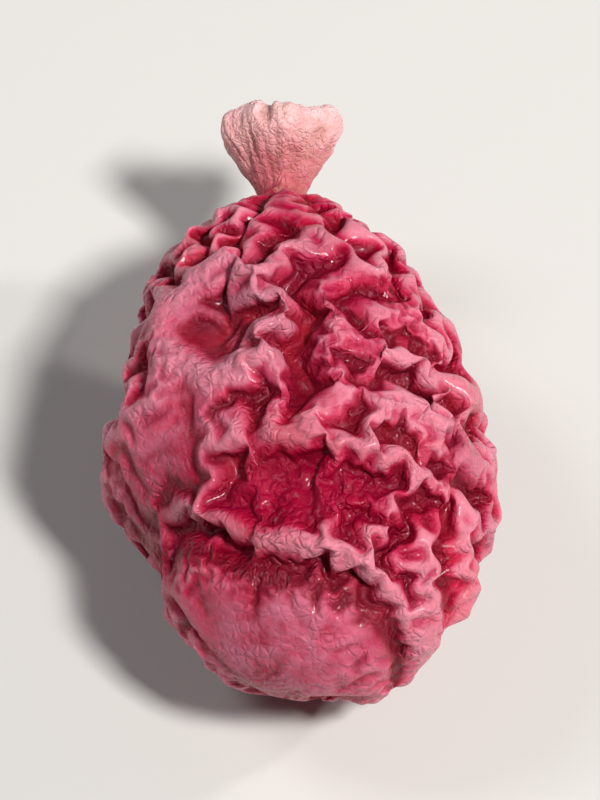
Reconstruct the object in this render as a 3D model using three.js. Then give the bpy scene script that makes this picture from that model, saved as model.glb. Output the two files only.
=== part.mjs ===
// One dried barberry, lying on its side: a plump oval berry, about 8 mm long, whose skin has wrinkled
// over the shrunken flesh, and the pale dried stigma that stays on its tip like a small button.
//
// Millimetres. +Y runs along the berry to the stigma, +X across it, +Z up. The berry lies on z = 0 on a
// small flat spot, and the origin is the centre of its box on that surface.
//
// The wrinkles come from drying. The skin is a closed net of springs that is longer than the flesh
// needs, mostly around the berry. The flesh holds it, the skin resists bending, and the net is let go
// until it lies still. It is never allowed to fall over, so the surface stays one clean solid.
import * as THREE from "three";
import { mergeVertices } from "three/addons/utils/BufferGeometryUtils.js";

const { smoothstep, smootherstep } = THREE.MathUtils;

// The dried flesh. The wrinkled skin stands up to about 0.2 mm proud of it.
const FLESH_LENGTH = 8.1;
const FLESH_WIDTH = 5.5;
const FLESH_HEIGHT = 5.0;
const STALK_END_FULLER = 0.02; // share by which the girth grows from the middle to the stalk end
const ENDS_NARROWER = 0.03; // share by which the girth shrinks towards both ends
const TIP_RAISED = 0.5; // the stigma's end is bent up by this much
const SKEWED = 0.25; // the stigma's end lies this much to the left, and the stalk end to the right
const LYING_DEPTH = 0.03; // the surface it lies on is this much above the flesh's lowest point

// The skin's net and how much too long it is, as shares of its length.
const NET_DETAIL = 22; // each face of an icosahedron is split into (22 + 1) squared
const NET_TURN = new THREE.Euler(0.4, 0.9, 0.2); // so that no corner of the icosahedron shows
const EXCESS_AROUND = 0.24;
const EXCESS_ALONG = 0.18;
const EXCESS_PATCHINESS = 0.6;
const PATCHES_PER_MM = 0.9;

// The skin's stiffness in each way, against a stretch stiffness of 1, and its first unevenness, which
// decides where each wrinkle starts.
const BENDING = 0.22;
const HOLD_OF_FLESH = 0.04;
const DRAG_OF_FLESH = 0.01;
const UNEVENNESS = 0.12;
const UNEVENNESS_PER_MM = 1.6;

// How the drying is stepped through.
const DRYING_STEPS = 1200;
const DRYING_SHARE = 0.6; // share of the steps in which the skin comes to its full length
const STEP = 0.35;
const KEPT_SPEED = 0.9;
const STEEPEST = 0.3; // cosine between skin and flesh past which a wrinkle is eased back
const EASE_EVERY = 10;
const EASED_LENGTH = 0.97;
const LAST_EASINGS = 400;

// Slow dents of the flesh.
const DENT_DEPTH = 0.22;
const DENTS_PER_MM = 0.35;
const SEED = 34;
const NOISE_TURN = new THREE.Euler(0.5, 0.8, 1.1); // so that no straight line of the noise follows the berry

// The larger forms, by where they lie seen from above: x across, y along. Heights and depths are from
// the smooth oval, and calm is the share by which the skin wrinkles less there.
const FOLD_LINE = [[-2.6, -1.6], [-1.8, -1.95], [-0.6, -2.75], [0.6, -3], [1.3, -3.3], [2, -4]];
const FOLD = { from: -2.3, to: 1.9, ease: 0.5, calm: 0.5 };
const FOLD_CREASE = { beyond: -0.1, width: 0.15, depth: 0.3 };
const FOLD_LIP = { beyond: 0.27, width: 0.15, height: 0.2 };
const LOBE = { x: -0.25, y: -3.8, halfWidth: 1.2, halfLength: 0.55, calm: 0.4 };
const HOLLOW = { x: -0.3, y: -1.8, halfWidth: 0.9, halfLength: 0.42, depth: 0.26, calm: 0.65 };
const BROW = { x: 0.8, y: -1.02, slope: -0.2, halfWidth: 1.0, halfLength: 0.17, height: 0.16 };
const DIMPLE = { x: -1.2, y: 1.1, longer: 1.3, radius: 0.33, depth: 0.34 };
const DIMPLE_RIM = { radius: 0.73, width: 0.2, height: 0.13 };
const GROOVE = { x: 0.05, halfWidth: 0.2, from: -0.7, to: 2.4, ease: 0.75, depth: 0.26 };
const PIMPLED_CHEEK = { x: 1.6, y: -0.1, halfWidth: 0.8, halfLength: 1.0, excess: 0.12 };
const SMOOTH_CHEEK = { x: -1.9, y: -0.7, halfWidth: 0.7, halfLength: 0.7, calm: 0.55 };
const UNDERSIDE = { x: 0, y: 0, halfWidth: 0.9, halfLength: 1.3, calm: 0.9 };
const SIDE_BULGE = { from: -1.6, to: -2.5, y: -0.1, halfLength: 0.55, height: 0.3 };
const WAIST = { from: -1.4, to: -2.2, y: -1.7, halfLength: 0.5, depth: 0.22 };
const PLEATS = [
  { x: 1.85, y: -3, halfWidth: 0.15, halfLength: 0.5, height: 0.22 },
  { x: 2.4, y: -2.4, halfWidth: 0.14, halfLength: 0.5, height: 0.2 },
];

// The two ends, by distances from the long axis on a ball of radius 1.
const STALK_SCAR = { x: 0.1, z: -0.34, radius: 0.09, depth: 0.3 };
const NECK = { radius: 0.2, height: 0.28 };
const SEAT_SHARE = 0.19;

// The stigma: a short style, bent up a little, that flares to an uneven disc. Its outline is given by
// radii and by heights as shares of the whole height.
const STYLE_RADIUS = 0.4;
const DISC_RADIUS = 0.84;
const STIGMA_HEIGHT = 1.5;
const STIGMA_BENT = 0.32;
const STIGMA_SIDES = 36;
const STIGMA_OUTLINE = [
  [0, 0],
  [STYLE_RADIUS, 0],
  [0.95 * STYLE_RADIUS, 0.12],
  [STYLE_RADIUS, 0.25],
  [1.3 * STYLE_RADIUS, 0.38],
  [0.78 * DISC_RADIUS, 0.54],
  [0.95 * DISC_RADIUS, 0.7],
  [DISC_RADIUS, 0.83],
  [0.93 * DISC_RADIUS, 0.96],
  [0.75 * DISC_RADIUS, 1],
  [0.5 * DISC_RADIUS, 0.94],
  [0.25 * DISC_RADIUS, 0.88],
  [0, 0.86],
];
const RIM_WAVES = [
  { around: 2, share: 0.06, phase: 0.7 },
  { around: 5, share: 0.05, phase: 0 },
  { around: 9, share: 0.03, phase: 2 },
];
const RIM_LUMPS = { around: 3, height: 0.05, phase: 1 };

const bell = (distance, width) => Math.exp(-0.5 * (distance / width) ** 2);
const mound = (form, x, y) => bell(x - form.x, form.halfWidth) * bell(y - form.y, form.halfLength);
const span = (t, { from, to, ease }) => smoothstep(t, from, from + ease) * (1 - smoothstep(t, to - ease, to));
const onTop = (z) => smoothstep(z, 0, 1);
const onStalkSide = (z) => smoothstep(z, -0.8, 0.4);
const onLeft = (x, { from, to }) => smoothstep(-x, -from, -to);
const foldLine = new THREE.CubicInterpolant(FOLD_LINE.map(([x]) => x), FOLD_LINE.map(([, y]) => y), 1);

// A number from 0 to 1 for a corner of a lattice, always the same for the same corner.
function cornerValue(ix, iy, iz, seed) {
  let h = Math.imul(ix, 374761393) + Math.imul(iy, 668265263) + Math.imul(iz, 2147483647);
  h += Math.imul(seed, 974634777);
  h = Math.imul(h ^ (h >>> 13), 1274126177);
  return ((h ^ (h >>> 16)) >>> 0) / 4294967296;
}

// Smooth noise from -1 to 1.
function noise(atX, atY, atZ, seed) {
  const [x, y, z] = new THREE.Vector3(atX, atY, atZ).applyEuler(NOISE_TURN);
  const [ix, iy, iz] = [Math.floor(x), Math.floor(y), Math.floor(z)];
  const [u, v, w] = [smootherstep(x - ix, 0, 1), smootherstep(y - iy, 0, 1), smootherstep(z - iz, 0, 1)];
  let sum = 0;
  for (const [i, wx] of [[0, 1 - u], [1, u]])
    for (const [j, wy] of [[0, 1 - v], [1, v]])
      for (const [k, wz] of [[0, 1 - w], [1, w]])
        sum += wx * wy * wz * cornerValue(ix + i, iy + j, iz + k, seed);
  return 2 * sum - 1;
}

// A ball of radius 1 in even triangles, with the two ends of each edge and each point's edges counted.
function makeNet() {
  const ball = new THREE.IcosahedronGeometry(1, NET_DETAIL);
  ball.deleteAttribute("normal");
  ball.deleteAttribute("uv");
  ball.applyMatrix4(new THREE.Matrix4().makeRotationFromEuler(NET_TURN));
  const merged = mergeVertices(ball, 1e-5);
  const points = Float64Array.from(merged.attributes.position.array);
  const faces = Uint32Array.from(merged.index.array);
  const count = points.length / 3;

  const keys = new Set();
  for (let i = 0; i < faces.length; i++) {
    const [a, b] = [faces[i], i % 3 === 2 ? faces[i - 2] : faces[i + 1]];
    keys.add(Math.min(a, b) * count + Math.max(a, b));
  }
  const ends = Uint32Array.from([...keys].flatMap((key) => [Math.floor(key / count), key % count]));
  const degree = new Uint8Array(count);
  for (const end of ends) degree[end]++;
  return { points, faces, ends, degree, count };
}

// Writes a face's normal, as long as twice its area.
function faceNormal(points, faces, f, out) {
  const [a, b, c] = [3 * faces[f], 3 * faces[f + 1], 3 * faces[f + 2]];
  const [ux, uy, uz] = [points[b] - points[a], points[b + 1] - points[a + 1], points[b + 2] - points[a + 2]];
  const [vx, vy, vz] = [points[c] - points[a], points[c + 1] - points[a + 1], points[c + 2] - points[a + 2]];
  out[0] = uy * vz - uz * vy;
  out[1] = uz * vx - ux * vz;
  out[2] = ux * vy - uy * vx;
}

function pointNormals(points, faces) {
  const normals = new Float64Array(points.length);
  const n = [0, 0, 0];
  for (let f = 0; f < faces.length; f += 3) {
    faceNormal(points, faces, f, n);
    for (let k = 0; k < 3; k++) for (let c = 0; c < 3; c++) normals[3 * faces[f + k] + c] += n[c];
  }
  for (let i = 0; i < normals.length; i += 3) {
    const length = Math.hypot(normals[i], normals[i + 1], normals[i + 2]);
    for (let c = 0; c < 3; c++) normals[i + c] /= length;
  }
  return normals;
}

// Writes, for each point, the mean of its neighbours less the point itself.
function laplacian(points, net, out) {
  const { ends, degree, count } = net;
  out.fill(0);
  for (let e = 0; e < ends.length; e += 2) {
    const [i, j] = [3 * ends[e], 3 * ends[e + 1]];
    for (let c = 0; c < 3; c++) {
      const d = points[j + c] - points[i + c];
      out[i + c] += d;
      out[j + c] -= d;
    }
  }
  for (let p = 0; p < count; p++) for (let c = 0; c < 3; c++) out[3 * p + c] /= degree[p];
}

// How far a place lies beyond the fold's line, and how much of the fold there is there.
function foldAt(x, y, z) {
  const [line] = foldLine.evaluate(x);
  return { beyond: y - line, share: span(x, FOLD) * onStalkSide(z) };
}

// How far the flesh stands out, or in if negative, at a place on its smooth oval.
function largerForms(x, y, z) {
  const { beyond, share } = foldAt(x, y, z);
  let relief = share * FOLD_LIP.height * bell(beyond - FOLD_LIP.beyond, FOLD_LIP.width);
  relief -= share * FOLD_CREASE.depth * bell(beyond - FOLD_CREASE.beyond, FOLD_CREASE.width);

  relief -= onTop(z) * HOLLOW.depth * mound(HOLLOW, x, y);
  relief += onTop(z) * BROW.height * mound(BROW, x, y - BROW.slope * x);
  relief -= onTop(z) * GROOVE.depth * span(y, GROOVE) * bell(x - GROOVE.x, GROOVE.halfWidth);

  const fromDimple = Math.hypot(x - DIMPLE.x, (y - DIMPLE.y) / DIMPLE.longer);
  relief -= onTop(z) * DIMPLE.depth * bell(fromDimple, DIMPLE.radius);
  relief += onTop(z) * DIMPLE_RIM.height * bell(fromDimple - DIMPLE_RIM.radius, DIMPLE_RIM.width);

  for (const pleat of PLEATS) relief += onStalkSide(z) * pleat.height * mound(pleat, x, y);
  relief += onLeft(x, SIDE_BULGE) * SIDE_BULGE.height * bell(y - SIDE_BULGE.y, SIDE_BULGE.halfLength);
  return relief - onLeft(x, WAIST) * WAIST.depth * bell(y - WAIST.y, WAIST.halfLength);
}

function slowDents(x, y, z) {
  const [u, v, w] = [x * DENTS_PER_MM, 0.8 * y * DENTS_PER_MM, z * DENTS_PER_MM];
  return DENT_DEPTH * (noise(u, v, w, SEED) + 0.5 * noise(2 * u, 2 * v, 2 * w, SEED + 1));
}

// The stalk's scar is a puckered pit. The other end draws out to a neck that carries the stigma.
function endForms(x, y, z) {
  if (y > 0) return NECK.height * bell(Math.hypot(x, z), NECK.radius);
  return -STALK_SCAR.depth * bell(Math.hypot(x - STALK_SCAR.x, z - STALK_SCAR.z), STALK_SCAR.radius);
}

// The flesh under each point of the net: its smooth oval, and the same with its dents.
function makeFlesh(net) {
  const oval = new Float64Array(3 * net.count);
  for (let i = 0; i < oval.length; i += 3) {
    const [x, y, z] = net.points.subarray(i, i + 3);
    const girth = 1 - STALK_END_FULLER * y - ENDS_NARROWER * y * y;
    oval[i] = (x * girth * FLESH_WIDTH) / 2 - SKEWED * y;
    oval[i + 1] = (y * FLESH_LENGTH) / 2;
    oval[i + 2] = (z * girth * FLESH_HEIGHT) / 2 + TIP_RAISED * Math.max(0, y) ** 2;
  }
  const out = pointNormals(oval, net.faces);
  const dented = new Float64Array(3 * net.count);
  for (let i = 0; i < oval.length; i += 3) {
    const place = oval.subarray(i, i + 3);
    const relief = largerForms(...place) + slowDents(...place) + endForms(...net.points.subarray(i, i + 3));
    for (let c = 0; c < 3; c++) dented[i + c] = oval[i + c] + relief * out[i + c];
  }
  return { oval, out, dented, dentedOut: pointNormals(dented, net.faces) };
}

// How much longer than the flesh the skin is at a place. along is 1 for a fibre that runs along the
// berry and 0 for one that runs around it.
function skinExcess(x, y, z, along) {
  const { beyond, share } = foldAt(x, y, z);
  const calm = Math.max(
    FOLD.calm * share * bell(beyond, 0.5),
    LOBE.calm * onStalkSide(z) * mound(LOBE, x, y),
    HOLLOW.calm * onTop(z) * mound(HOLLOW, x, y),
    SMOOTH_CHEEK.calm * onTop(z) * mound(SMOOTH_CHEEK, x, y),
    UNDERSIDE.calm * smoothstep(-z, 1.8, 2.3) * mound(UNDERSIDE, x, y),
  );
  const [u, v, w] = [x * PATCHES_PER_MM, y * PATCHES_PER_MM, z * PATCHES_PER_MM];
  const patches = 1 + EXCESS_PATCHINESS * noise(u, v, w, SEED + 2);
  const wrinkles = EXCESS_ALONG * along + EXCESS_AROUND * (1 - along);
  return patches * (1 - calm) * wrinkles + PIMPLED_CHEEK.excess * onTop(z) * mound(PIMPLED_CHEEK, x, y);
}

// The length of each edge in the skin.
function skinLengths(net, flesh) {
  const lengths = new Float64Array(net.ends.length / 2);
  const [a, b, out, edge, along] = [0, 1, 2, 3, 4].map(() => new THREE.Vector3());
  for (let e = 0; e < lengths.length; e++) {
    a.fromArray(flesh.oval, 3 * net.ends[2 * e]);
    b.fromArray(flesh.oval, 3 * net.ends[2 * e + 1]);
    out.fromArray(flesh.out, 3 * net.ends[2 * e]);
    edge.subVectors(b, a);
    along.set(0, 1, 0).addScaledVector(out, -out.y).normalize();
    const share = (edge.dot(along) / edge.length()) ** 2;
    a.lerp(b, 0.5);
    lengths[e] = edge.length() * (1 + skinExcess(a.x, a.y, a.z, share));
  }
  return lengths;
}

// The skin before it dries: the dented flesh with a small unevenness.
function freshSkin(flesh) {
  const skin = Float64Array.from(flesh.dented);
  for (let i = 0; i < skin.length; i += 3) {
    const [x, y, z] = [skin[i], 0.6 * skin[i + 1], skin[i + 2]].map((v) => v * UNEVENNESS_PER_MM);
    const lift = UNEVENNESS * noise(x, y, z, SEED + 3);
    for (let c = 0; c < 3; c++) skin[i + c] += lift * flesh.dentedOut[i + c];
  }
  return skin;
}

// Adds the pull of each edge towards its own length.
function pullEdges(skin, net, lengths, tightness, push) {
  for (let e = 0; e < lengths.length; e++) {
    const [i, j] = [3 * net.ends[2 * e], 3 * net.ends[2 * e + 1]];
    const [dx, dy, dz] = [skin[j] - skin[i], skin[j + 1] - skin[i + 1], skin[j + 2] - skin[i + 2]];
    const length = Math.sqrt(dx * dx + dy * dy + dz * dz);
    const pull = (tightness * (length - lengths[e])) / length;
    push[i] += pull * dx;
    push[i + 1] += pull * dy;
    push[i + 2] += pull * dz;
    push[j] -= pull * dx;
    push[j + 1] -= pull * dy;
    push[j + 2] -= pull * dz;
  }
}

// Adds the flesh's hold on the skin: firm straight in and out, loose sideways.
function pullToFlesh(skin, flesh, push) {
  const { dented, dentedOut: out } = flesh;
  for (let i = 0; i < skin.length; i += 3) {
    const [x, y, z] = [dented[i] - skin[i], dented[i + 1] - skin[i + 1], dented[i + 2] - skin[i + 2]];
    const straight = (HOLD_OF_FLESH - DRAG_OF_FLESH) * (x * out[i] + y * out[i + 1] + z * out[i + 2]);
    push[i] += straight * out[i] + DRAG_OF_FLESH * x;
    push[i + 1] += straight * out[i + 1] + DRAG_OF_FLESH * y;
    push[i + 2] += straight * out[i + 2] + DRAG_OF_FLESH * z;
  }
}

// Marks the points of each face that stands too steep on the flesh.
function steepPoints(skin, net, flesh) {
  const steep = new Set();
  const n = [0, 0, 0];
  for (let f = 0; f < net.faces.length; f += 3) {
    faceNormal(skin, net.faces, f, n);
    const corners = net.faces.subarray(f, f + 3);
    let cosine = 0;
    for (const p of corners) for (let c = 0; c < 3; c++) cosine += (n[c] * flesh.dentedOut[3 * p + c]) / 3;
    if (cosine < STEEPEST * Math.hypot(...n)) for (const p of corners) steep.add(p);
  }
  return steep;
}

// Shortens and smooths the skin where it is too steep. Returns whether it was, anywhere.
function easeSteep(skin, net, flesh, lengths, work) {
  const steep = steepPoints(skin, net, flesh);
  if (!steep.size) return false;
  for (let e = 0; e < lengths.length; e++)
    if (steep.has(net.ends[2 * e]) || steep.has(net.ends[2 * e + 1])) lengths[e] *= EASED_LENGTH;
  laplacian(skin, net, work);
  for (const p of steep) for (let c = 0; c < 3; c++) skin[3 * p + c] += 0.5 * work[3 * p + c];
  return true;
}

// Lets the skin dry until it lies still. It stays above the surface it lies on, and flat in the seat,
// with none of it past the seat.
function drySkin(net) {
  const flesh = makeFlesh(net);
  const lengths = skinLengths(net, flesh);
  const skin = freshSkin(flesh);
  const floor = -FLESH_HEIGHT / 2 + LYING_DEPTH;
  const seatY = FLESH_LENGTH / 2 + NECK.height;
  const isInSeat = (p) => {
    const [x, y, z] = net.points.subarray(3 * p, 3 * p + 3);
    return y > 0 && Math.hypot(x, z) < SEAT_SHARE;
  };
  const seat = [...net.degree.keys()].filter(isInSeat);
  const hold = () => {
    for (let i = 0; i < skin.length; i += 3) {
      skin[i + 1] = Math.min(skin[i + 1], seatY);
      skin[i + 2] = Math.max(skin[i + 2], floor);
    }
    for (const p of seat) skin.set([flesh.oval[3 * p], seatY, flesh.oval[3 * p + 2]], 3 * p);
  };

  const [bend, natural, twice, push, speed] = [0, 1, 2, 3, 4].map(() => new Float64Array(skin.length));
  laplacian(flesh.dented, net, natural);
  for (let step = 0; step < DRYING_STEPS; step++) {
    push.fill(0);
    pullEdges(skin, net, lengths, Math.min(1, step / (DRYING_SHARE * DRYING_STEPS)), push);
    pullToFlesh(skin, flesh, push);
    laplacian(skin, net, bend);
    for (let i = 0; i < bend.length; i++) bend[i] -= natural[i];
    laplacian(bend, net, twice);
    for (let i = 0; i < skin.length; i++) {
      speed[i] = KEPT_SPEED * (speed[i] + STEP * (push[i] - BENDING * twice[i]));
      skin[i] += STEP * speed[i];
    }
    if (step % EASE_EVERY === 0) easeSteep(skin, net, flesh, lengths, twice);
    hold();
  }
  for (let round = 0; round < LAST_EASINGS && easeSteep(skin, net, flesh, lengths, twice); round++) hold();
  return { skin, seat: new THREE.Vector3(-SKEWED, seatY, TIP_RAISED) };
}

function meshOf(name, geometry, color, roughness) {
  geometry.computeVertexNormals();
  const mesh = new THREE.Mesh(geometry, new THREE.MeshStandardMaterial({ color, roughness, metalness: 0 }));
  mesh.name = name;
  return mesh;
}

function makeBerry(skin, faces) {
  const geometry = new THREE.BufferGeometry();
  geometry.setAttribute("position", new THREE.Float32BufferAttribute(Float32Array.from(skin), 3));
  geometry.setIndex(new THREE.BufferAttribute(faces, 1));
  return meshOf("berry", geometry, 0x7a1029, 0.45);
}

// The stigma stands on y = 0, with its rim and its dished top uneven, and bends up as it rises.
function makeStigma() {
  const outline = STIGMA_OUTLINE.map(([radius, share]) => new THREE.Vector2(radius, share * STIGMA_HEIGHT));
  const lathed = new THREE.LatheGeometry(outline, STIGMA_SIDES);
  const place = lathed.getAttribute("position");
  const acrossBerry = new THREE.Vector3(1, 0, 0);
  const point = new THREE.Vector3();
  for (let i = 0; i < place.count; i++) {
    point.fromBufferAttribute(place, i);
    const turn = Math.atan2(point.z, point.x);
    const out = Math.min(1, Math.hypot(point.x, point.z) / DISC_RADIUS);
    const risen = smoothstep(point.y, 0.15 * STIGMA_HEIGHT, STIGMA_HEIGHT);
    const bent = STIGMA_BENT * smoothstep(point.y, 0, 0.7 * STIGMA_HEIGHT);
    let wider = 1;
    for (const wave of RIM_WAVES) wider += risen * wave.share * Math.sin(wave.around * turn + wave.phase);
    const lump = risen * out * RIM_LUMPS.height * Math.sin(RIM_LUMPS.around * turn + RIM_LUMPS.phase);
    point.set(wider * point.x, point.y + lump, wider * point.z).applyAxisAngle(acrossBerry, bent);
    place.setXYZ(i, point.x, point.y, point.z);
  }
  lathed.deleteAttribute("normal");
  lathed.deleteAttribute("uv");
  return meshOf("stigma", mergeVertices(lathed, 1e-4), 0xd9b48c, 0.8);
}

const net = makeNet();
const dried = drySkin(net);
const berry = makeBerry(dried.skin, net.faces);
const stigma = makeStigma();
stigma.position.copy(dried.seat);

const barberry = new THREE.Group();
barberry.add(berry, stigma);

// Puts the origin at the centre of the box, on the surface that the berry lies on.
const box = new THREE.Box3().setFromObject(barberry, true);
const centre = box.getCenter(new THREE.Vector3()).setZ(box.min.z);
for (const mesh of barberry.children) mesh.position.sub(centre);

export default barberry;
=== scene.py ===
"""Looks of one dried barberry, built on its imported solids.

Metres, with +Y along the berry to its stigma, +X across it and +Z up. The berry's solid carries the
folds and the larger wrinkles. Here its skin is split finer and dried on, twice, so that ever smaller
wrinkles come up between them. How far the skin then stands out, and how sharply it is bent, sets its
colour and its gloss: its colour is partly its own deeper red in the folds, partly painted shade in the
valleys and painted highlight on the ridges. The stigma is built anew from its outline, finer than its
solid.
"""

import math

import bpy
import numpy as np
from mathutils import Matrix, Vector

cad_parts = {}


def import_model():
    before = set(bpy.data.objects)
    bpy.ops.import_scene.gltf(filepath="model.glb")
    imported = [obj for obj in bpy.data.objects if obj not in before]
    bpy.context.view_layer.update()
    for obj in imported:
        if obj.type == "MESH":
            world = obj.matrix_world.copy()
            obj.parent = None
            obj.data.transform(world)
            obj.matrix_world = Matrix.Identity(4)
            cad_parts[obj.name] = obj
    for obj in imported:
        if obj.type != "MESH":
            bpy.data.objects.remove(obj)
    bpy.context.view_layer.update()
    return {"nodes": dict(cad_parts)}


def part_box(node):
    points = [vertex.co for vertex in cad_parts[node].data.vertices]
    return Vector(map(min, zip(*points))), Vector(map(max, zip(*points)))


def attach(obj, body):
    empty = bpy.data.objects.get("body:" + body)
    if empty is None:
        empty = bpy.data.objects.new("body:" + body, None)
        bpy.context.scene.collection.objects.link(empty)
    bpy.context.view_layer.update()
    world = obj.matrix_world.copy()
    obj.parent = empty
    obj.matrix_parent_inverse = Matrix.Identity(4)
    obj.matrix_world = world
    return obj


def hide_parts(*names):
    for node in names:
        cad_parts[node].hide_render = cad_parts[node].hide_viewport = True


MM = 0.001

# The camera looks along +Y, down at the berry, as the photographed one is seen.
CAMERA_ELEVATION = math.radians(56)
CAMERA_LENS_MM = 200
CAMERA_SENSOR_HEIGHT_MM = 24
CAMERA_FILL = 0.76  # share of the picture's height that the part takes
PICTURE_ASPECT = 600 / 800

# Each light: where it stands, as azimuth and elevation in degrees and distance in metres, its side in
# metres, its power in watts and its colour.
LIGHTS = {
    "key": (50, 57, 0.30, 0.045, 1.09, (1.0, 0.985, 0.96)),
    "sky": (-108, 54, 0.34, 0.10, 0.28, (0.96, 0.98, 1.0)),
    "rim": (104, 34, 0.34, 0.03, 0.34, (1.0, 0.98, 0.96)),
}
WORLD_COLOUR = (0.93, 0.94, 0.96)
WORLD_STRENGTH = 0.07
FLOOR_SIDE = 3.0
FLOOR_COLOUR = (0.60, 0.585, 0.565)
FLOOR_ROUGHNESS = 0.85

# The two finer dryings of the skin. Excess is how much longer the skin is than what lies under it.
WELD = 1e-7  # points of the solid closer than this are one
FINE_DRYING = {"rounding": 12, "excess": 0.20, "steps": 420, "seed": 5}
FINEST_DRYING = {"rounding": 8, "excess": 0.16, "steps": 200, "seed": 9}
LAST_ROUNDING = 4
EXCESS_PATCHINESS = 0.75
PATCH_ROUNDS = 60  # of smoothing, which sets how wide the patches are
PATCH_LIMIT = 1.2  # how far a patch may lie from the mean, in spreads
EXCESS_SPARED = 0.7  # share of the excess that a calm place goes without
EXCESS_ADDED = 0.4  # share that the pimpled cheek has on top
BENDING = 0.30  # how hard the skin is to bend
HOLD = 0.05  # how hard the flesh holds it, straight in
DRAG = 0.03  # and along
UNEVENNESS = 0.16  # how far the skin's points start out of place, in edges of its net
DRYING_SHARE = 0.5  # share of the steps over which its springs grow to their full strength
TIME_STEP = 0.35
KEPT_SPEED = 0.9  # share of a point's speed that is left after each step
FLAT_SPOT_DEPTH = 0.02 * MM  # what lies this close to the surface under the berry is its flat spot

# How the skin's relief is measured: the solid smoothed this often stands for the berry's plain form,
# and a full ridge or valley is this high or deep. Folds and wrinkles are read after this much smoothing.
PLAIN_FORM_ROUNDS = 28
FULL_RELIEF = 0.20 * MM
FOLD_ROUNDS = 30
WRINKLE_ROUNDS = 4

# Places of the skin, from the middle of the berry: across, along, and their half sizes.
LOBE = (-0.3 * MM, -3.85 * MM, 1.3 * MM, 0.68 * MM)
LEFT_CHEEK = (-1.9 * MM, -0.85 * MM, 0.75 * MM, 0.75 * MM)
HOLLOW = (-0.25 * MM, -1.95 * MM, 1.0 * MM, 0.45 * MM)
DIMPLE = (-1.2 * MM, 0.95 * MM, 0.75 * MM, 0.95 * MM)
PIMPLED_CHEEK = (1.6 * MM, -0.25 * MM, 0.9 * MM, 1.1 * MM)
INNER_PLEAT = (1.82 * MM, -3.14 * MM, 0.15 * MM, 0.5 * MM)
OUTER_PLEAT = (2.37 * MM, -2.54 * MM, 0.14 * MM, 0.5 * MM)
RING_WIDTH = 0.22  # of the ring round the dimple, as a share of its half size
UPPER_SIDE_FROM = 0.4  # share of the middle's height over which the upper side begins

# Lines over the upper side, by places across and along: the cross fold's lip and crease, and the brow. The
# crease gets painted shade; the lip and the brow get painted highlight.
LIP = np.array([(-2.2, -1.6), (-1.8, -1.83), (-0.6, -2.62), (0.6, -2.87), (1.3, -3.17), (1.8, -3.7)]) * MM
CREASE = LIP - (0, 0.40 * MM)
BROW = np.array([(-0.6, -0.7), (0.7, -1.25), (1.6, -1.35), (2.4, -0.6)]) * MM
LINE_WIDTH = 0.13 * MM
LINE_ENDS = 0.4 * MM  # how long a line takes to fade out

# What the places and lines are, each with its share: smoothed, spared by the wrinkles, dusty with painted
# sheen, lightened by a painted highlight.
SMOOTHED = ((HOLLOW, 0.35), (LOBE, 0.75), (LEFT_CHEEK, 0.5))
SMOOTHING_ROUNDS = 90
CALM = ((HOLLOW, 0.1), (LOBE, 1.0), (LEFT_CHEEK, 1.0))
# Bloom: pale mauve dust on these places, partly real bloom, partly painted sheen.
BLOOM_AND_SHEEN = ((LOBE, 1.0), (LEFT_CHEEK, 0.8), (DIMPLE, 0.9), (PIMPLED_CHEEK, 0.4))
# Painted highlight: these places, these lines and the dimple's ring are lightened in colour.
PAINTED_HIGHLIGHT_PLACES = ((INNER_PLEAT, 1.0), (OUTER_PLEAT, 1.0), (PIMPLED_CHEEK, 0.35))
PAINTED_HIGHLIGHT_LINES = ((LIP, 1.0), (BROW, 0.8))
PAINTED_HIGHLIGHT_RING = 0.7

# The skin's colours, from the deepest valley to the highest ridge, and what is mixed into them. The dark
# valley end is partly painted shade, the pale ridge end partly painted highlight.
SKIN_RAMP = [
    (0.00, (0.150, 0.000, 0.008)),
    (0.28, (0.290, 0.000, 0.020)),
    (0.50, (0.410, 0.003, 0.042)),
    (0.70, (0.510, 0.038, 0.096)),
    (1.00, (0.640, 0.200, 0.262)),
]
SKIN_BROWN = (0.210, 0.004, 0.034)
SKIN_SCARLET = (0.560, 0.016, 0.034)
SKIN_DUST_AND_SHEEN = (0.500, 0.205, 0.290)
# The hollow's darker red is painted shade in a recess.
HOLLOW_SHADE_RED = (0.310, 0.000, 0.028)

# The stigma's outline: radius and height, from the middle of its foot.
STYLE_RADIUS = 0.40 * MM
DISC_RADIUS = 0.84 * MM
STIGMA_HEIGHT = 1.5 * MM
STIGMA_BENT = 0.32
STIGMA_SUNK = 0.45 * MM  # its foot goes this far into the skin
STIGMA_OUTLINE = [
    (1.00 * STYLE_RADIUS, -STIGMA_SUNK),
    (1.05 * STYLE_RADIUS, 0.02 * STIGMA_HEIGHT),
    (0.95 * STYLE_RADIUS, 0.12 * STIGMA_HEIGHT),
    (1.00 * STYLE_RADIUS, 0.25 * STIGMA_HEIGHT),
    (1.30 * STYLE_RADIUS, 0.38 * STIGMA_HEIGHT),
    (0.78 * DISC_RADIUS, 0.54 * STIGMA_HEIGHT),
    (0.95 * DISC_RADIUS, 0.70 * STIGMA_HEIGHT),
    (1.00 * DISC_RADIUS, 0.83 * STIGMA_HEIGHT),
    (0.93 * DISC_RADIUS, 0.95 * STIGMA_HEIGHT),
    (0.75 * DISC_RADIUS, 0.99 * STIGMA_HEIGHT),
    (0.50 * DISC_RADIUS, 0.94 * STIGMA_HEIGHT),
    (0.25 * DISC_RADIUS, 0.88 * STIGMA_HEIGHT),
    (0.00 * DISC_RADIUS, 0.86 * STIGMA_HEIGHT),
]
RIM_FROM, RIM_TO = 7.6, 9.8  # between which places of the outline, by number, its side turns into its top
STIGMA_SIDES = 240
STIGMA_RINGS = 131
RIM_WAVES = [(2, 0.06, 0.7), (5, 0.05, 0.0), (9, 0.03, 2.0)]  # number around, share of the radius, phase
RIM_LUMPS = (3, 0.05 * MM, 1.0)  # number around, height, phase
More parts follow.
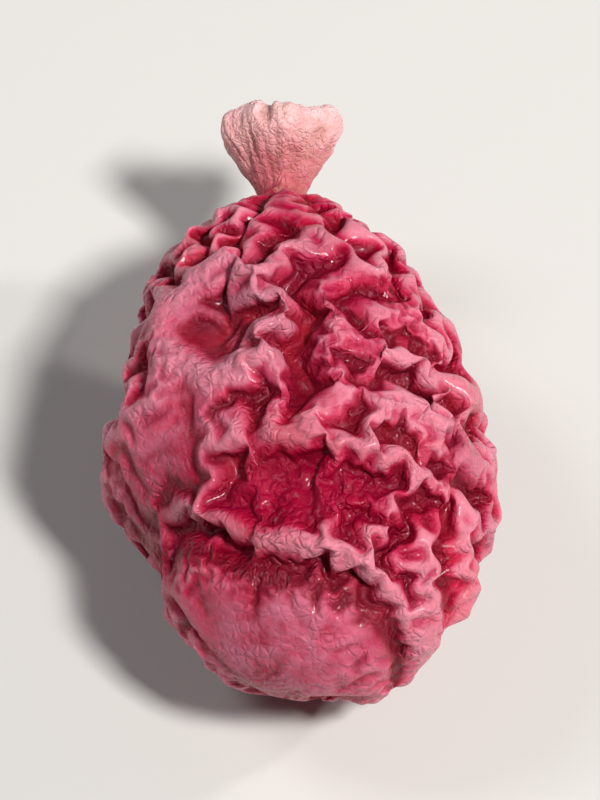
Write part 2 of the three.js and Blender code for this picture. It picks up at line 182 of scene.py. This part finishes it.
PLEATS_AROUND = 3.2  # lattice steps of the pleats' noise in one radian
PLEAT_DEPTH = 0.060 * MM
CRUST_SIZES = (0.26 * MM, 0.13 * MM, 0.065 * MM)
CRUST_HEIGHT = 0.065 * MM
LATTICE_SIDE = 32  # the crust's and the pleats' noise repeats after so many steps

# The stigma's colours, from its foot to its top, and what is mixed into them.
STIGMA_RAMP = [
    (0.00, (0.300, 0.008, 0.034)),
    (0.12, (0.400, 0.042, 0.072)),
    (0.30, (0.570, 0.150, 0.178)),
    (0.60, (0.770, 0.345, 0.355)),
    (1.00, (0.910, 0.560, 0.555)),
]
# Painted shade in the crust's cracks and the pleats' valleys.
STIGMA_CRACK_SHADE = (0.420, 0.150, 0.110)
STIGMA_TAN = (0.640, 0.330, 0.240)
STIGMA_SPECKS = (0.460, 0.190, 0.130)

PATTERN_STEP = 13 * MM  # how far apart two seeds' patterns are taken


def direction(azimuth, elevation):
    """The unit vector towards a place round the part, both in radians, azimuth 0 being in front."""
    flat = math.cos(elevation)
    return Vector((math.sin(azimuth) * flat, -math.cos(azimuth) * flat, math.sin(elevation)))


def smooth_step(t, low, high):
    t = np.clip((t - low) / (high - low), 0, 1)
    return t * t * (3 - 2 * t)


def bell(distance, width):
    return np.exp(-0.5 * (distance / width) ** 2)


def add_to_scene(name, data):
    thing = bpy.data.objects.new(name, data)
    bpy.context.scene.collection.objects.link(thing)
    return thing


def add_camera(nodes):
    """Aims at the middle of what the camera sees of the part, and stands off until it fills the frame."""
    back = direction(0, CAMERA_ELEVATION)
    turn = back.to_track_quat("Z", "Y")
    right, up = turn @ Vector((1, 0, 0)), turn @ Vector((0, 1, 0))
    points = np.array([v.co for node in nodes for v in node.data.vertices])
    across, along, deep = (points @ np.array(axis) for axis in (right, up, back))
    aim = right * float(across.min() + across.max()) / 2 + up * float(along.min() + along.max()) / 2
    aim += back * float(deep.min() + deep.max()) / 2
    needed = max(np.ptp(along), np.ptp(across) / PICTURE_ASPECT) / CAMERA_FILL

    data = bpy.data.cameras.new("camera")
    data.sensor_fit = "VERTICAL"
    data.sensor_height = CAMERA_SENSOR_HEIGHT_MM
    data.lens = CAMERA_LENS_MM
    data.clip_start = 0.002
    data.clip_end = 20
    camera = add_to_scene("camera", data)
    camera.location = aim + back * needed * CAMERA_LENS_MM / CAMERA_SENSOR_HEIGHT_MM
    camera.rotation_mode = "QUATERNION"
    camera.rotation_quaternion = turn
    bpy.context.scene.camera = camera


def add_lights(aim):
    for name, (azimuth, elevation, distance, side, power, colour) in LIGHTS.items():
        data = bpy.data.lights.new(name, "AREA")
        data.size = side
        data.energy = power
        data.color = colour
        light = add_to_scene(name, data)
        towards = direction(math.radians(azimuth), math.radians(elevation))
        light.location = aim + towards * distance
        light.rotation_mode = "QUATERNION"
        light.rotation_quaternion = towards.to_track_quat("Z", "Y")
    world = bpy.data.worlds.new("world")
    world.use_nodes = True
    background = world.node_tree.nodes["Background"]
    background.inputs["Color"].default_value = (*WORLD_COLOUR, 1)
    background.inputs["Strength"].default_value = WORLD_STRENGTH
    bpy.context.scene.world = world


def add_floor():
    half = FLOOR_SIDE / 2
    corners = [(-half, -half, 0), (half, -half, 0), (half, half, 0), (-half, half, 0)]
    mesh = bpy.data.meshes.new("floor")
    mesh.from_pydata(corners, [], [(0, 1, 2, 3)])
    look = Look("floor")
    look.set("Base Color", FLOOR_COLOUR)
    look.set("Roughness", FLOOR_ROUGHNESS)
    mesh.materials.append(look.material)
    add_to_scene("floor", mesh)


class Net:
    """A closed net of triangles, with each point's neighbours in rows of equal length.

    A point with fewer neighbours than the row is long has itself in the places left over.
    """

    def __init__(self, faces, count):
        self.faces = faces
        self.count = count
        self.starts = faces[:, [0, 1, 2]].T.ravel()
        self.ends = faces[:, [1, 2, 0]].T.ravel()
        self.across = faces[:, [2, 0, 1]].T.ravel()
        self.degree = np.bincount(self.starts, minlength=count)
        order = np.argsort(self.starts, kind="stable")
        place = np.arange(len(order)) - np.repeat(np.cumsum(self.degree) - self.degree, self.degree)
        self.around = np.repeat(np.arange(count)[:, None], self.degree.max(), axis=1)
        self.around[self.starts[order], place] = self.ends[order]

    def pull(self, values):
        """The mean of each point's neighbours, less the point."""
        return values[self.around].sum(axis=1) / shaped(self.degree, values) - values * self._share(values)

    def _share(self, values):
        """Makes up for the points that stand in their own rows."""
        spare = self.around.shape[1] - self.degree
        return 1 + shaped(spare / self.degree, values)

    def smoothed(self, values, rounds):
        for _ in range(rounds):
            values = values + 0.5 * self.pull(values)
        return values

    def normals(self, points):
        a, b, c = (points[self.faces[:, k]] for k in range(3))
        across = np.cross(b - a, c - a)
        total = sum(add_up(self.faces[:, k], across, self.count) for k in range(3))
        return total / np.linalg.norm(total, axis=1, keepdims=True)

    def split(self):
        """The net with each triangle cut in four, and how Loop's rule weighs old points into new."""
        keys = np.minimum(self.starts, self.ends) * self.count + np.maximum(self.starts, self.ends)
        edges, which = np.unique(keys, return_inverse=True)
        which = which.reshape(-1)
        m0, m1, m2 = (self.count + which).reshape(3, -1)
        f0, f1, f2 = self.faces.T
        rows = [(f0, m0, m2), (f1, m1, m0), (f2, m2, m1), (m0, m1, m2)]
        faces = np.concatenate([np.stack(row, axis=1) for row in rows])
        finer = Net(faces, self.count + len(edges))
        return finer, edges // self.count, edges % self.count, which

    def carry(self, values, first, second, which):
        """Values on this net, carried over to the split one by Loop's rule."""
        opposite = add_up(which, values[self.across], len(first))
        middle = 0.375 * (values[first] + values[second]) + 0.125 * opposite
        weight = 0.625 - (0.375 + 0.25 * np.cos(2 * math.pi / self.degree)) ** 2
        kept = values + shaped(weight, values) * self.pull(values)
        return np.concatenate([kept, middle])


def shaped(numbers, values):
    """Numbers, one for each point, ready to multiply values that may have several columns."""
    return numbers.reshape(-1, *[1] * (values.ndim - 1))


def add_up(index, values, count):
    """Adds up the rows of values that share an index."""
    if values.ndim == 1:
        return np.bincount(index, weights=values, minlength=count)
    return np.stack([np.bincount(index, weights=column, minlength=count) for column in values.T], axis=1)


def welded(node):
    """A solid's points and triangles, with the points that share a place joined."""
    mesh = node.data
    mesh.calc_loop_triangles()
    places = np.empty(3 * len(mesh.vertices))
    mesh.vertices.foreach_get("co", places)
    places = places.reshape(-1, 3)
    corners = np.empty(3 * len(mesh.loop_triangles), int)
    mesh.loop_triangles.foreach_get("vertices", corners)
    keys = np.round(places / WELD).astype(np.int64)
    _, first, joined = np.unique(keys, axis=0, return_index=True, return_inverse=True)
    return places[first], joined.reshape(-1)[corners].reshape(-1, 3)


def noise_on(net, rounds, seed):
    """Smooth noise over a net, mostly from -2 to 2. More rounds make it slower."""
    values = np.random.default_rng(seed).standard_normal(net.count)
    values = net.smoothed(values, rounds)
    return values / values.std()


def dry(net, flesh, excess, settings):
    """Lets a skin that is too long for the flesh wrinkle on it until it lies still."""
    out = net.normals(flesh)
    rows = net.around
    fibres = flesh[rows] - flesh[:, None]
    natural = net.pull(flesh)
    lengths = np.sqrt((fibres**2).sum(axis=2)) * (1 + (excess[rows] + excess[:, None]) / 2)
    edge = np.median(lengths)
    skin = flesh + shaped(UNEVENNESS * edge * noise_on(net, 3, settings["seed"]), flesh) * out
    low = flesh[:, 2] < FLAT_SPOT_DEPTH
    speed = np.zeros_like(skin)
    steps = settings["steps"]
    for step in range(steps):
        tightness = min(1, step / (DRYING_SHARE * steps))
        fibres = skin[rows] - skin[:, None]
        now = np.sqrt(np.einsum("ijk,ijk->ij", fibres, fibres)) + 1e-12
        push = np.einsum("ij,ijk->ik", tightness * (now - lengths) / now, fibres)
        off = flesh - skin
        straight = (HOLD - DRAG) * np.einsum("ij,ij->i", off, out)
        push += shaped(straight, out) * out + DRAG * off
        push -= BENDING * net.pull(net.pull(skin) - natural)
        speed = KEPT_SPEED * (speed + TIME_STEP * push)
        skin = skin + TIME_STEP * speed
        skin[low] = flesh[low]
        skin[:, 2] = np.maximum(skin[:, 2], 0)
    return skin


def rounded(net, points, rounds):
    """Rounds the ridges: smooths the skin wherever it is bent outwards, and leaves the valleys narrow."""
    for turn in range(rounds):
        pull = net.pull(points)
        if turn % 4 == 0:
            out = net.normals(points)
        ridge = np.einsum("ij,ij->i", pull, out) < 0
        points = points + 0.5 * pull * ridge[:, None]
    return points


def upper_side(points, middle):
    """1 from the berry's middle height upwards, and down to 0 below."""
    return smooth_step(points[:, 2], UPPER_SIDE_FROM * middle.z, middle.z)


def apart(points, middle, place):
    """How far the points lie from the middle of a place, across and along, in its half sizes."""
    x, y, half_width, half_length = place
    return (points[:, 0] - middle.x - x) / half_width, (points[:, 1] - middle.y - y) / half_length


def mound(points, middle, place):
    """1 in the middle of a place on the berry's upper side, and less the farther from it."""
    across, along = apart(points, middle, place)
    return upper_side(points, middle) * bell(across, 1) * bell(along, 1)


def mounds(points, middle, shares):
    """The highest mound at each point, of several places that each have their own height."""
    return np.max([by * mound(points, middle, place) for place, by in shares], axis=0)


def ring(points, middle, place):
    """1 on the ring round a place on the berry's upper side, and less the farther from it."""
    distance = np.hypot(*apart(points, middle, place))
    return upper_side(points, middle) * bell(distance - 1, RING_WIDTH)


def along_line(points, middle, line):
    """1 on a line over the berry's upper side, and less the farther from it."""
    across, along = points[:, 0] - middle.x, points[:, 1] - middle.y
    first, last = line[0, 0], line[-1, 0]
    share = smooth_step(across, first, first + LINE_ENDS) * smooth_step(-across, -last, LINE_ENDS - last)
    return upper_side(points, middle) * share * bell(along - np.interp(across, *line.T), LINE_WIDTH)


def calmed(net, points, middle):
    """Smooths the places that are smooth on the berry, but not the lip between them."""
    smooth = net.smoothed(points, SMOOTHING_ROUNDS)
    share = mounds(points, middle, SMOOTHED) * (1 - along_line(points, middle, LIP))
    return points + shaped(share, points) * (smooth - points)


def skin_excess(net, points, middle, settings):
    """How much longer the skin is at each point: in patches, less on calm places, more on the pimpled."""
    uneven = noise_on(net, PATCH_ROUNDS, settings["seed"] + 1)
    patches = 1 + EXCESS_PATCHINESS * np.clip(uneven, -PATCH_LIMIT, PATCH_LIMIT)
    spared = 1 - EXCESS_SPARED * mounds(points, middle, CALM)
    added = 1 + EXCESS_ADDED * mound(points, middle, PIMPLED_CHEEK)
    return settings["excess"] * patches * spared * added


def relief(net, points, plain):
    """How far the points stand out from the berry's plain form, as a share of a full ridge."""
    return np.clip(np.einsum("ij,ij->i", points - plain, net.normals(plain)) / FULL_RELIEF, -2, 2)


def bends(net, points, rounds):
    """How sharply the skin is bent outwards at each point, against what is usual. Inwards is negative."""
    smooth = net.smoothed(points, rounds)
    bent = -np.einsum("ij,ij->i", net.pull(smooth), net.normals(smooth))
    return np.clip((bent - np.median(bent)) / bent.std(), -3, 3)


def painted_highlight(points, middle):
    """How much painted highlight each point gets, lightening its colour."""
    shares = [by * along_line(points, middle, line) for line, by in PAINTED_HIGHLIGHT_LINES]
    shares += [mounds(points, middle, PAINTED_HIGHLIGHT_PLACES), PAINTED_HIGHLIGHT_RING * ring(points, middle, DIMPLE)]
    return np.max(shares, axis=0)


def mesh_piece(name, points, faces, attributes):
    mesh = bpy.data.meshes.new(name)
    mesh.vertices.add(len(points))
    mesh.vertices.foreach_set("co", points.astype(np.float32).ravel())
    mesh.loops.add(faces.size)
    mesh.loops.foreach_set("vertex_index", faces.astype(np.int32).ravel())
    mesh.polygons.add(len(faces))
    mesh.polygons.foreach_set("loop_start", np.arange(0, faces.size, 3, dtype=np.int32))
    mesh.update(calc_edges=True)
    mesh.validate()
    mesh.shade_smooth()
    for key, values in attributes.items():
        attribute = mesh.attributes.new(key, "FLOAT", "POINT")
        attribute.data.foreach_set("value", values.astype(np.float32))
    return add_to_scene(name, mesh)


def make_skin(node):
    """The berry's skin, split twice and dried on after each split."""
    low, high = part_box("berry")
    middle = (low + high) / 2
    points, faces = welded(node)
    net = Net(faces, len(points))
    plain = net.smoothed(points, PLAIN_FORM_ROUNDS)
    for settings in (FINE_DRYING, FINEST_DRYING):
        finer, *rule = net.split()
        points, plain = (net.carry(values, *rule) for values in (points, plain))
        net = finer
        points[:, 2] = np.maximum(points[:, 2], 0)
        points = rounded(net, calmed(net, points, middle), settings["rounding"])
        points = dry(net, points, skin_excess(net, points, middle, settings), settings)
    points = rounded(net, points, LAST_ROUNDING)
    attributes = {
        "relief": relief(net, points, plain),
        "fold": bends(net, points, FOLD_ROUNDS),
        "wrinkle": bends(net, points, WRINKLE_ROUNDS),
        "bloom_and_sheen": mounds(points, middle, BLOOM_AND_SHEEN),
        "hollow": mound(points, middle, HOLLOW),
        "painted_highlight": painted_highlight(points, middle),
        "crease_shade": along_line(points, middle, CREASE),
    }
    return mesh_piece("berry_skin", points, net.faces, attributes)


def outline_rings():
    """Radii and heights of the stigma's rings, and their places, by a smooth curve through its outline."""
    knots = np.array(STIGMA_OUTLINE)
    padded = np.vstack([2 * knots[0] - knots[1], knots, knots[-1]])
    lengths = np.linalg.norm(np.diff(knots, axis=0), axis=1)
    stations = np.concatenate([[0], np.cumsum(lengths)])
    rings = np.linspace(0, stations[-1], STIGMA_RINGS + 1)[:-1]
    k = np.clip(np.searchsorted(stations, rings, side="right") - 1, 0, len(knots) - 2)
    t = (rings - stations[k]) / lengths[k]
    p0, p1, p2, p3 = (padded[k + step].T for step in range(4))
    curve = 2 * p1 + (p2 - p0) * t
    curve += (2 * p0 - 5 * p1 + 4 * p2 - p3) * t**2
    curve += (3 * p1 - p0 - 3 * p2 + p3) * t**3
    return *curve / 2, k + t


def lattice_noise(points, seed):
    """Smooth noise from -1 to 1 at places given in lattice steps."""
    table = np.random.default_rng(seed).uniform(-1, 1, (LATTICE_SIDE, LATTICE_SIDE, LATTICE_SIDE))
    cell = np.floor(points).astype(int)
    part = points - cell
    part = part**3 * (part * (6 * part - 15) + 10)
    total = np.zeros(points.shape[:-1])
    for corner in np.ndindex(2, 2, 2):
        weight = np.prod(np.where(np.array(corner) == 1, part, 1 - part), axis=-1)
        i, j, k = np.moveaxis((cell + corner) % LATTICE_SIDE, -1, 0)
        total += weight * table[i, j, k]
    return total


def stigma_pleats(turn, height):
    """Uneven pleats, from -1 to 1, that run up the style and out over the disc's rim."""
    around = PLEATS_AROUND * np.stack([np.cos(turn), np.sin(turn), 0.25 * height / STIGMA_HEIGHT], axis=-1)
    return 1 - 2 * np.abs(lattice_noise(around, 4) + 0.5 * lattice_noise(2.3 * around, 5))


def stigma_crust(places):
    """Crusty lumps at places of the stigma, mostly from -1 to 1."""
    lumps = sum(lattice_noise(places / size, seed) * size for seed, size in enumerate(CRUST_SIZES, 1))
    return lumps / CRUST_SIZES[0]


def around_axis(radius, height, turn):
    """Places round the stigma's axis, which stands along +Y."""
    return np.stack([radius * np.cos(turn), height, radius * np.sin(turn)], axis=-1)


def bent_up(places):
    """Bends the stigma upwards from its foot."""
    x, y, z = np.moveaxis(places, -1, 0)
    bent = STIGMA_BENT * smooth_step(y, 0, 0.7 * STIGMA_HEIGHT)
    return np.stack([x, y * np.cos(bent) - z * np.sin(bent), z * np.cos(bent) + y * np.sin(bent)], axis=-1)


def roughened(radius, height, turn, on_top):
    """The stigma's radius and height with an uneven rim, pleats and crust, and how crusty each point is."""
    out = np.clip(radius / DISC_RADIUS, 0, 1)
    risen = smooth_step(height, 0.15 * STIGMA_HEIGHT, STIGMA_HEIGHT)
    wider = 1 + risen * sum(share * np.sin(around * turn + phase) for around, share, phase in RIM_WAVES)
    around, lump, phase = RIM_LUMPS
    rise = risen * out * lump * np.sin(around * turn + phase)

    pleats = stigma_pleats(turn, height)
    pleats *= smooth_step(height, 0, 0.6 * STIGMA_HEIGHT) * smooth_step(out, 0.1, 0.6)
    crust = stigma_crust(around_axis(radius, height, turn))
    radius = radius * wider + PLEAT_DEPTH * (1 - 0.5 * on_top) * pleats
    radius += 0.6 * CRUST_HEIGHT * (1 - on_top) * crust
    height = height + rise + on_top * (CRUST_HEIGHT * crust + PLEAT_DEPTH * pleats * out)
    return radius, height, crust + 0.6 * pleats


def fan(rim, middle):
    """Triangles from a ring of points to the point in its middle."""
    return np.stack([rim, np.full_like(rim, middle), np.roll(rim, -1)], axis=1)


def tube_faces(tip, foot):
    """Triangles of the stigma: between its rings, and from the last and the first ring to the ends."""
    index = np.arange(STIGMA_RINGS * STIGMA_SIDES).reshape(STIGMA_RINGS, STIGMA_SIDES)
    a, b = index[:-1], index[1:]
    quads = np.stack([a, b, np.roll(b, -1, axis=1), np.roll(a, -1, axis=1)], axis=-1).reshape(-1, 4)
    sides = [quads[:, [0, 1, 2]], quads[:, [0, 2, 3]]]
    return np.concatenate([*sides, fan(index[-1], tip), fan(index[0, ::-1], foot)])


def make_stigma(node):
    """The stigma: a gathered style that flares to an uneven disc with a crusty, dished top."""
    solid, _ = welded(node)
    seat = solid[solid[:, 1] < solid[:, 1].min() + 0.001 * MM].mean(axis=0)
    turns = np.linspace(0, 2 * math.pi, STIGMA_SIDES, endpoint=False)
    radius, height, rings = (np.repeat(row[:, None], STIGMA_SIDES, axis=1) for row in outline_rings())
    turn = np.repeat(turns[None], STIGMA_RINGS, axis=0)
    on_top = smooth_step(rings, RIM_FROM, RIM_TO)
    radius, height, crust = roughened(radius, height, turn, on_top)

    points = bent_up(around_axis(radius, height, turn))
    ends = points[-1].mean(axis=0), points[0].mean(axis=0)
    points = np.vstack([points.reshape(-1, 3), *ends]) + seat
    faces = tube_faces(len(points) - 2, len(points) - 1)
    attributes = {
        "height": np.append((height / STIGMA_HEIGHT).ravel(), (1.0, 0.0)),
        "top": np.append(on_top.ravel(), (1.0, 0.0)),
        "crust": np.append(crust.ravel(), (0.0, 0.0)),
    }
    return mesh_piece("stigma_button", points, faces, attributes)


class Look:
    """A material made of the Principled shader and procedural nodes."""

    def __init__(self, name):
        self.material = bpy.data.materials.new(name)
        self.material.use_nodes = True
        self.nodes = self.material.node_tree.nodes
        self.links = self.material.node_tree.links
        self.surface = self.nodes["Principled BSDF"]

    def set(self, name, value):
        """Gives the shader's named input a number, a colour or another node's output."""
        self.feed(self.surface.inputs[name], value)

    def feed(self, socket, value):
        if isinstance(value, bpy.types.NodeSocket):
            self.links.new(value, socket)
        elif isinstance(value, tuple) and socket.type == "RGBA":
            socket.default_value = (*value, 1)
        else:
            socket.default_value = value

    def attribute(self, name):
        node = self.nodes.new("ShaderNodeAttribute")
        node.attribute_name = name
        return node.outputs["Fac"]

    def maths(self, operation, first, second):
        node = self.nodes.new("ShaderNodeMath")
        node.operation = operation
        self.feed(node.inputs[0], first)
        self.feed(node.inputs[1], second)
        return node.outputs[0]

    def add(self, first, *others):
        for other in others:
            first = self.maths("ADD", first, other)
        return first

    def times(self, first, second):
        return self.maths("MULTIPLY", first, second)

    def mapped(self, value, low, high, to_low=0.0, to_high=1.0):
        """A value carried smoothly from one range to another, and held at its ends."""
        node = self.nodes.new("ShaderNodeMapRange")
        node.interpolation_type = "SMOOTHSTEP"
        self.feed(node.inputs["Value"], value)
        node.inputs["From Min"].default_value = low
        node.inputs["From Max"].default_value = high
        node.inputs["To Min"].default_value = to_low
        node.inputs["To Max"].default_value = to_high
        return node.outputs["Result"]

    def ramp(self, value, stops):
        node = self.nodes.new("ShaderNodeValToRGB")
        elements = node.color_ramp.elements
        while len(elements) < len(stops):
            elements.new(0.5)
        for element, (place, colour) in zip(elements, stops):
            element.position = place
            element.color = (*colour, 1)
        self.feed(node.inputs["Fac"], value)
        return node.outputs["Color"]

    def mixed(self, share, first, second):
        node = self.nodes.new("ShaderNodeMix")
        node.data_type = "RGBA"
        for name, value in (("Factor_Float", share), ("A_Color", first), ("B_Color", second)):
            self.feed(next(s for s in node.inputs if s.identifier == name), value)
        return next(s for s in node.outputs if s.identifier == "Result_Color")

    def places(self, seed):
        """The piece's own places, moved so that each seed meets another part of a pattern."""
        node = self.nodes.new("ShaderNodeVectorMath")
        node.operation = "ADD"
        self.links.new(self.nodes.new("ShaderNodeTexCoord").outputs["Object"], node.inputs[0])
        node.inputs[1].default_value = (seed * PATTERN_STEP,) * 3
        return node.outputs["Vector"]

    def noise(self, size, detail=3.0, roughness=0.55, seed=0, output="Fac"):
        """Noise from 0 to 1 with lumps of about this size."""
        node = self.nodes.new("ShaderNodeTexNoise")
        node.inputs["Scale"].default_value = 1 / size
        node.inputs["Detail"].default_value = detail
        node.inputs["Roughness"].default_value = roughness
        self.links.new(self.places(seed), node.inputs["Vector"])
        return node.outputs[output]

    def cells(self, size, wander, seed=0):
        """How far a place lies from the edges in a net of uneven cells, in cell sizes."""
        moved = self.nodes.new("ShaderNodeVectorMath")
        moved.operation = "MULTIPLY_ADD"
        self.links.new(self.noise(2.5 * size, 2, seed=seed, output="Color"), moved.inputs[0])
        moved.inputs[1].default_value = (wander * size,) * 3
        self.links.new(self.places(seed), moved.inputs[2])
        node = self.nodes.new("ShaderNodeTexVoronoi")
        node.feature = "DISTANCE_TO_EDGE"
        node.inputs["Scale"].default_value = 1 / size
        self.links.new(moved.outputs["Vector"], node.inputs["Vector"])
        return node.outputs["Distance"]

    def bump(self, height, strength, distance):
        node = self.nodes.new("ShaderNodeBump")
        node.inputs["Strength"].default_value = strength
        node.inputs["Distance"].default_value = distance
        self.feed(node.inputs["Height"], height)
        self.set("Normal", node.outputs["Normal"])


def skin_height(look):
    """How ridge-like the skin is at a place, by its shape and by what the place is. It sets painted shade
    in the valleys, the crease and the hollow, and painted highlight on the ridges.
    """
    # Painted shade darkens the crease and the hollow; painted highlight lightens the lip, the brow, the
    # pleats and the ridges.
    shares = {"relief": 0.70, "fold": 0.36, "wrinkle": 0.28, "hollow": -0.6, "crease_shade": -1.2, "painted_highlight": 1.0}
    parts = [look.times(look.attribute(name), share) for name, share in shares.items()]
    return look.add(*parts, look.mapped(look.noise(1.3 * MM, seed=1), 0.25, 0.75, -0.3, 0.3))


def skin_dust_and_sheen(look, height):
    """How dusty the skin is, with painted sheen: in specks on the ridges, and all over where it has its
    waxy bloom.
    """
    specks = look.mapped(look.noise(0.22 * MM, 6, 0.72, seed=7), 0.45, 0.75)
    specks = look.times(specks, look.mapped(height, -0.2, 0.9, 0.0, 0.30))
    broken = look.mapped(look.noise(0.45 * MM, 6, 0.7, seed=8), 0.30, 0.65, 0.25, 1.0)
    broken = look.times(broken, look.mapped(height, -0.7, 0.3, 0.10, 0.68))
    return look.add(specks, look.times(look.attribute("bloom_and_sheen"), broken))


def skin_look():
    """Leathery crimson skin: deep red and glossy in its folds, darkened there by painted shade; pink and
    dusty on its ridges, lightened there by painted highlight and sheen.
    """
    look = Look("dried_skin")
    height = skin_height(look)
    dust_and_sheen = skin_dust_and_sheen(look, height)
    hollow = look.attribute("hollow")
    colour = look.ramp(look.mapped(height, -1.15, 1.45), SKIN_RAMP)
    brown = look.mapped(look.noise(1.7 * MM, seed=4), 0.52, 0.74, 0.0, 0.35)
    colour = look.mixed(brown, colour, SKIN_BROWN)
    scarlet = look.mapped(look.noise(1.4 * MM, seed=6), 0.50, 0.72, 0.0, 0.40)
    colour = look.mixed(scarlet, colour, SKIN_SCARLET)
    colour = look.mixed(dust_and_sheen, colour, SKIN_DUST_AND_SHEEN)
    # Painted shade: the hollow is mixed towards a darker red.
    look.set("Base Color", look.mixed(look.times(hollow, 0.80), colour, HOLLOW_SHADE_RED))

    rough = look.mapped(look.noise(0.5 * MM, 4, 0.6, seed=5), 0.3, 0.7, 0.13, 0.28)
    look.set("Roughness", look.add(rough, look.times(dust_and_sheen, 0.5), look.times(hollow, 0.25)))
    look.set("Subsurface Weight", 0.24)
    look.set("Subsurface Radius", (1.0, 0.14, 0.12))
    look.set("Subsurface Scale", 0.14 * MM)
    look.set("Specular IOR Level", 0.32)
    look.set("Specular Tint", (1.0, 0.35, 0.48))
    look.set("Coat Weight", 0.12)
    look.set("Coat Roughness", 0.08)
    grain = look.mapped(look.cells(0.15 * MM, 1.8, seed=3), 0.0, 0.26)
    grain = look.times(grain, look.mapped(look.noise(0.8 * MM, seed=9), 0.35, 0.65, 0.25, 0.80))
    creases = look.noise(0.24 * MM, 7, 0.74, seed=2)
    look.bump(look.add(creases, grain), 0.85, 0.032 * MM)
    return look.material


def stigma_look():
    """Dry, corky stigma: pale pink on top, crimson at its foot, darkened by painted shade in its cracks and
    pleat valleys, and browner in patches.
    """
    look = Look("dried_stigma")
    height, top, crust = (look.attribute(name) for name in ("height", "top", "crust"))
    wander = look.mapped(look.noise(0.3 * MM, seed=11), 0.2, 0.8, -0.14, 0.14)
    colour = look.ramp(look.add(height, wander), STIGMA_RAMP)
    crack_shade = look.times(look.mapped(crust, 0.2, -1.0), look.add(0.40, look.times(top, 0.35)))
    colour = look.mixed(crack_shade, colour, STIGMA_CRACK_SHADE)
    tan = look.mapped(look.noise(0.40 * MM, 5, 0.6, seed=15), 0.50, 0.68, 0.0, 0.32)
    colour = look.mixed(tan, colour, STIGMA_TAN)
    specks = look.mapped(look.noise(0.10 * MM, 4, 0.65, seed=12), 0.56, 0.68, 0.0, 0.5)
    look.set("Base Color", look.mixed(specks, colour, STIGMA_SPECKS))

    look.set("Roughness", look.mapped(look.noise(0.2 * MM, seed=14), 0.3, 0.7, 0.62, 0.82))
    look.set("Subsurface Weight", 0.25)
    look.set("Subsurface Radius", (1.0, 0.45, 0.35))
    look.set("Subsurface Scale", 0.15 * MM)
    grain = look.times(look.mapped(look.cells(0.09 * MM, 1.5, seed=16), 0.0, 0.25), 0.4)
    look.bump(look.add(look.noise(0.16 * MM, 7, 0.72, seed=13), grain), 0.9, 0.036 * MM)
    return look.material


def dress(piece, node_name, material):
    piece.data.materials.append(material)
    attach(piece, "root")
    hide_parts(node_name)


def main():
    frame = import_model()
    nodes = frame["nodes"]
    add_camera([nodes["berry"], nodes["stigma"]])
    low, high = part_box("berry")
    add_lights((low + high) / 2)
    add_floor()
    dress(make_skin(nodes["berry"]), "berry", skin_look())
    dress(make_stigma(nodes["stigma"]), "stigma", stigma_look())
    bpy.context.scene.view_settings.view_transform = "Standard"


main()
